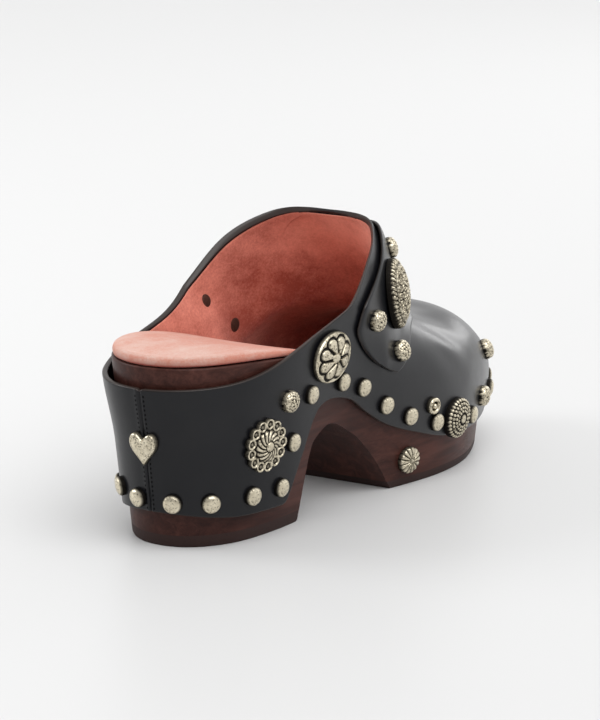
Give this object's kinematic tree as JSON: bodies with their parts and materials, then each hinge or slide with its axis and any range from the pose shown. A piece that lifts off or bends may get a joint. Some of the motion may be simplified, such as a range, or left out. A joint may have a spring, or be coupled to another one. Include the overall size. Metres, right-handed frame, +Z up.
{
  "type": "studded clog",
  "caption": "Right-foot platform clog: dark wooden sole with arched heel, hollow black leather upper open at the heel, instep strap, pink suede insole and antique silver studs.",
  "frame": {"origin": "middle of the bounding box, on the floor that the heel lift and the forefoot tread stand on", "axes": "+X towards the toe, +Y towards the inner side of the foot, +Z up"},
  "size_m": [0.251, 0.1002, 0.1169],
  "materials": {
    "wood": "satin, dark red-brown stain",
    "rubber": "matte",
    "suede": "napped suede, salmon pink",
    "leather": "smooth, soft gloss, black",
    "silver": "antique silver with dark recesses"
  },
  "bodies": {
    "root": {"wood_sole": "wood", "heel_lift": "rubber", "forefoot_tread": "rubber", "insole": "suede", "upper": "leather", "instep_strap": "leather", "nail_heel_back": "silver", "nail_heel_outer_1": "silver", "nail_heel_outer_2": "silver", "nail_heel_outer_3": "silver", "nail_heel_outer_4": "silver", "nail_breast_outer": "silver", "nail_arch_outer": "silver", "nail_side_outer_1": "silver", "nail_side_outer_2": "silver", "nail_side_outer_3": "silver", "nail_side_outer_4": "silver", "nail_side_outer_5": "silver", "nail_side_outer_6": "silver", "nugget_heel_outer": "silver", "nugget_toe_outer": "silver", "sunburst_heel_outer": "silver", "flower_arch_outer": "silver", "woven_ball_outer": "silver", "ring_ball_outer": "silver", "fluted_sole_outer": "silver", "nugget_strap_outer_1": "silver", "nugget_strap_outer_2": "silver", "nugget_strap_outer_3": "silver", "oval_strap_outer": "silver", "nugget_toe_top_1": "silver", "nail_toe_outer_1": "silver", "nail_toe_outer_2": "silver", "nail_toe_tip": "silver", "nail_heel_inner_1": "silver", "nail_heel_inner_2": "silver", "nail_heel_inner_3": "silver", "nail_heel_inner_4": "silver", "nail_breast_inner": "silver", "nail_arch_inner": "silver", "nail_side_inner_1": "silver", "nail_side_inner_2": "silver", "nail_side_inner_3": "silver", "nail_side_inner_4": "silver", "nail_side_inner_5": "silver", "nail_side_inner_6": "silver", "nail_side_inner_7": "silver", "nail_toe_inner_1": "silver", "nail_toe_inner_2": "silver", "nail_toe_inner_3": "silver", "nugget_strap_inner_1": "silver", "nugget_strap_inner_2": "silver", "heart_back": "silver"}
  },
  "joints": []
}
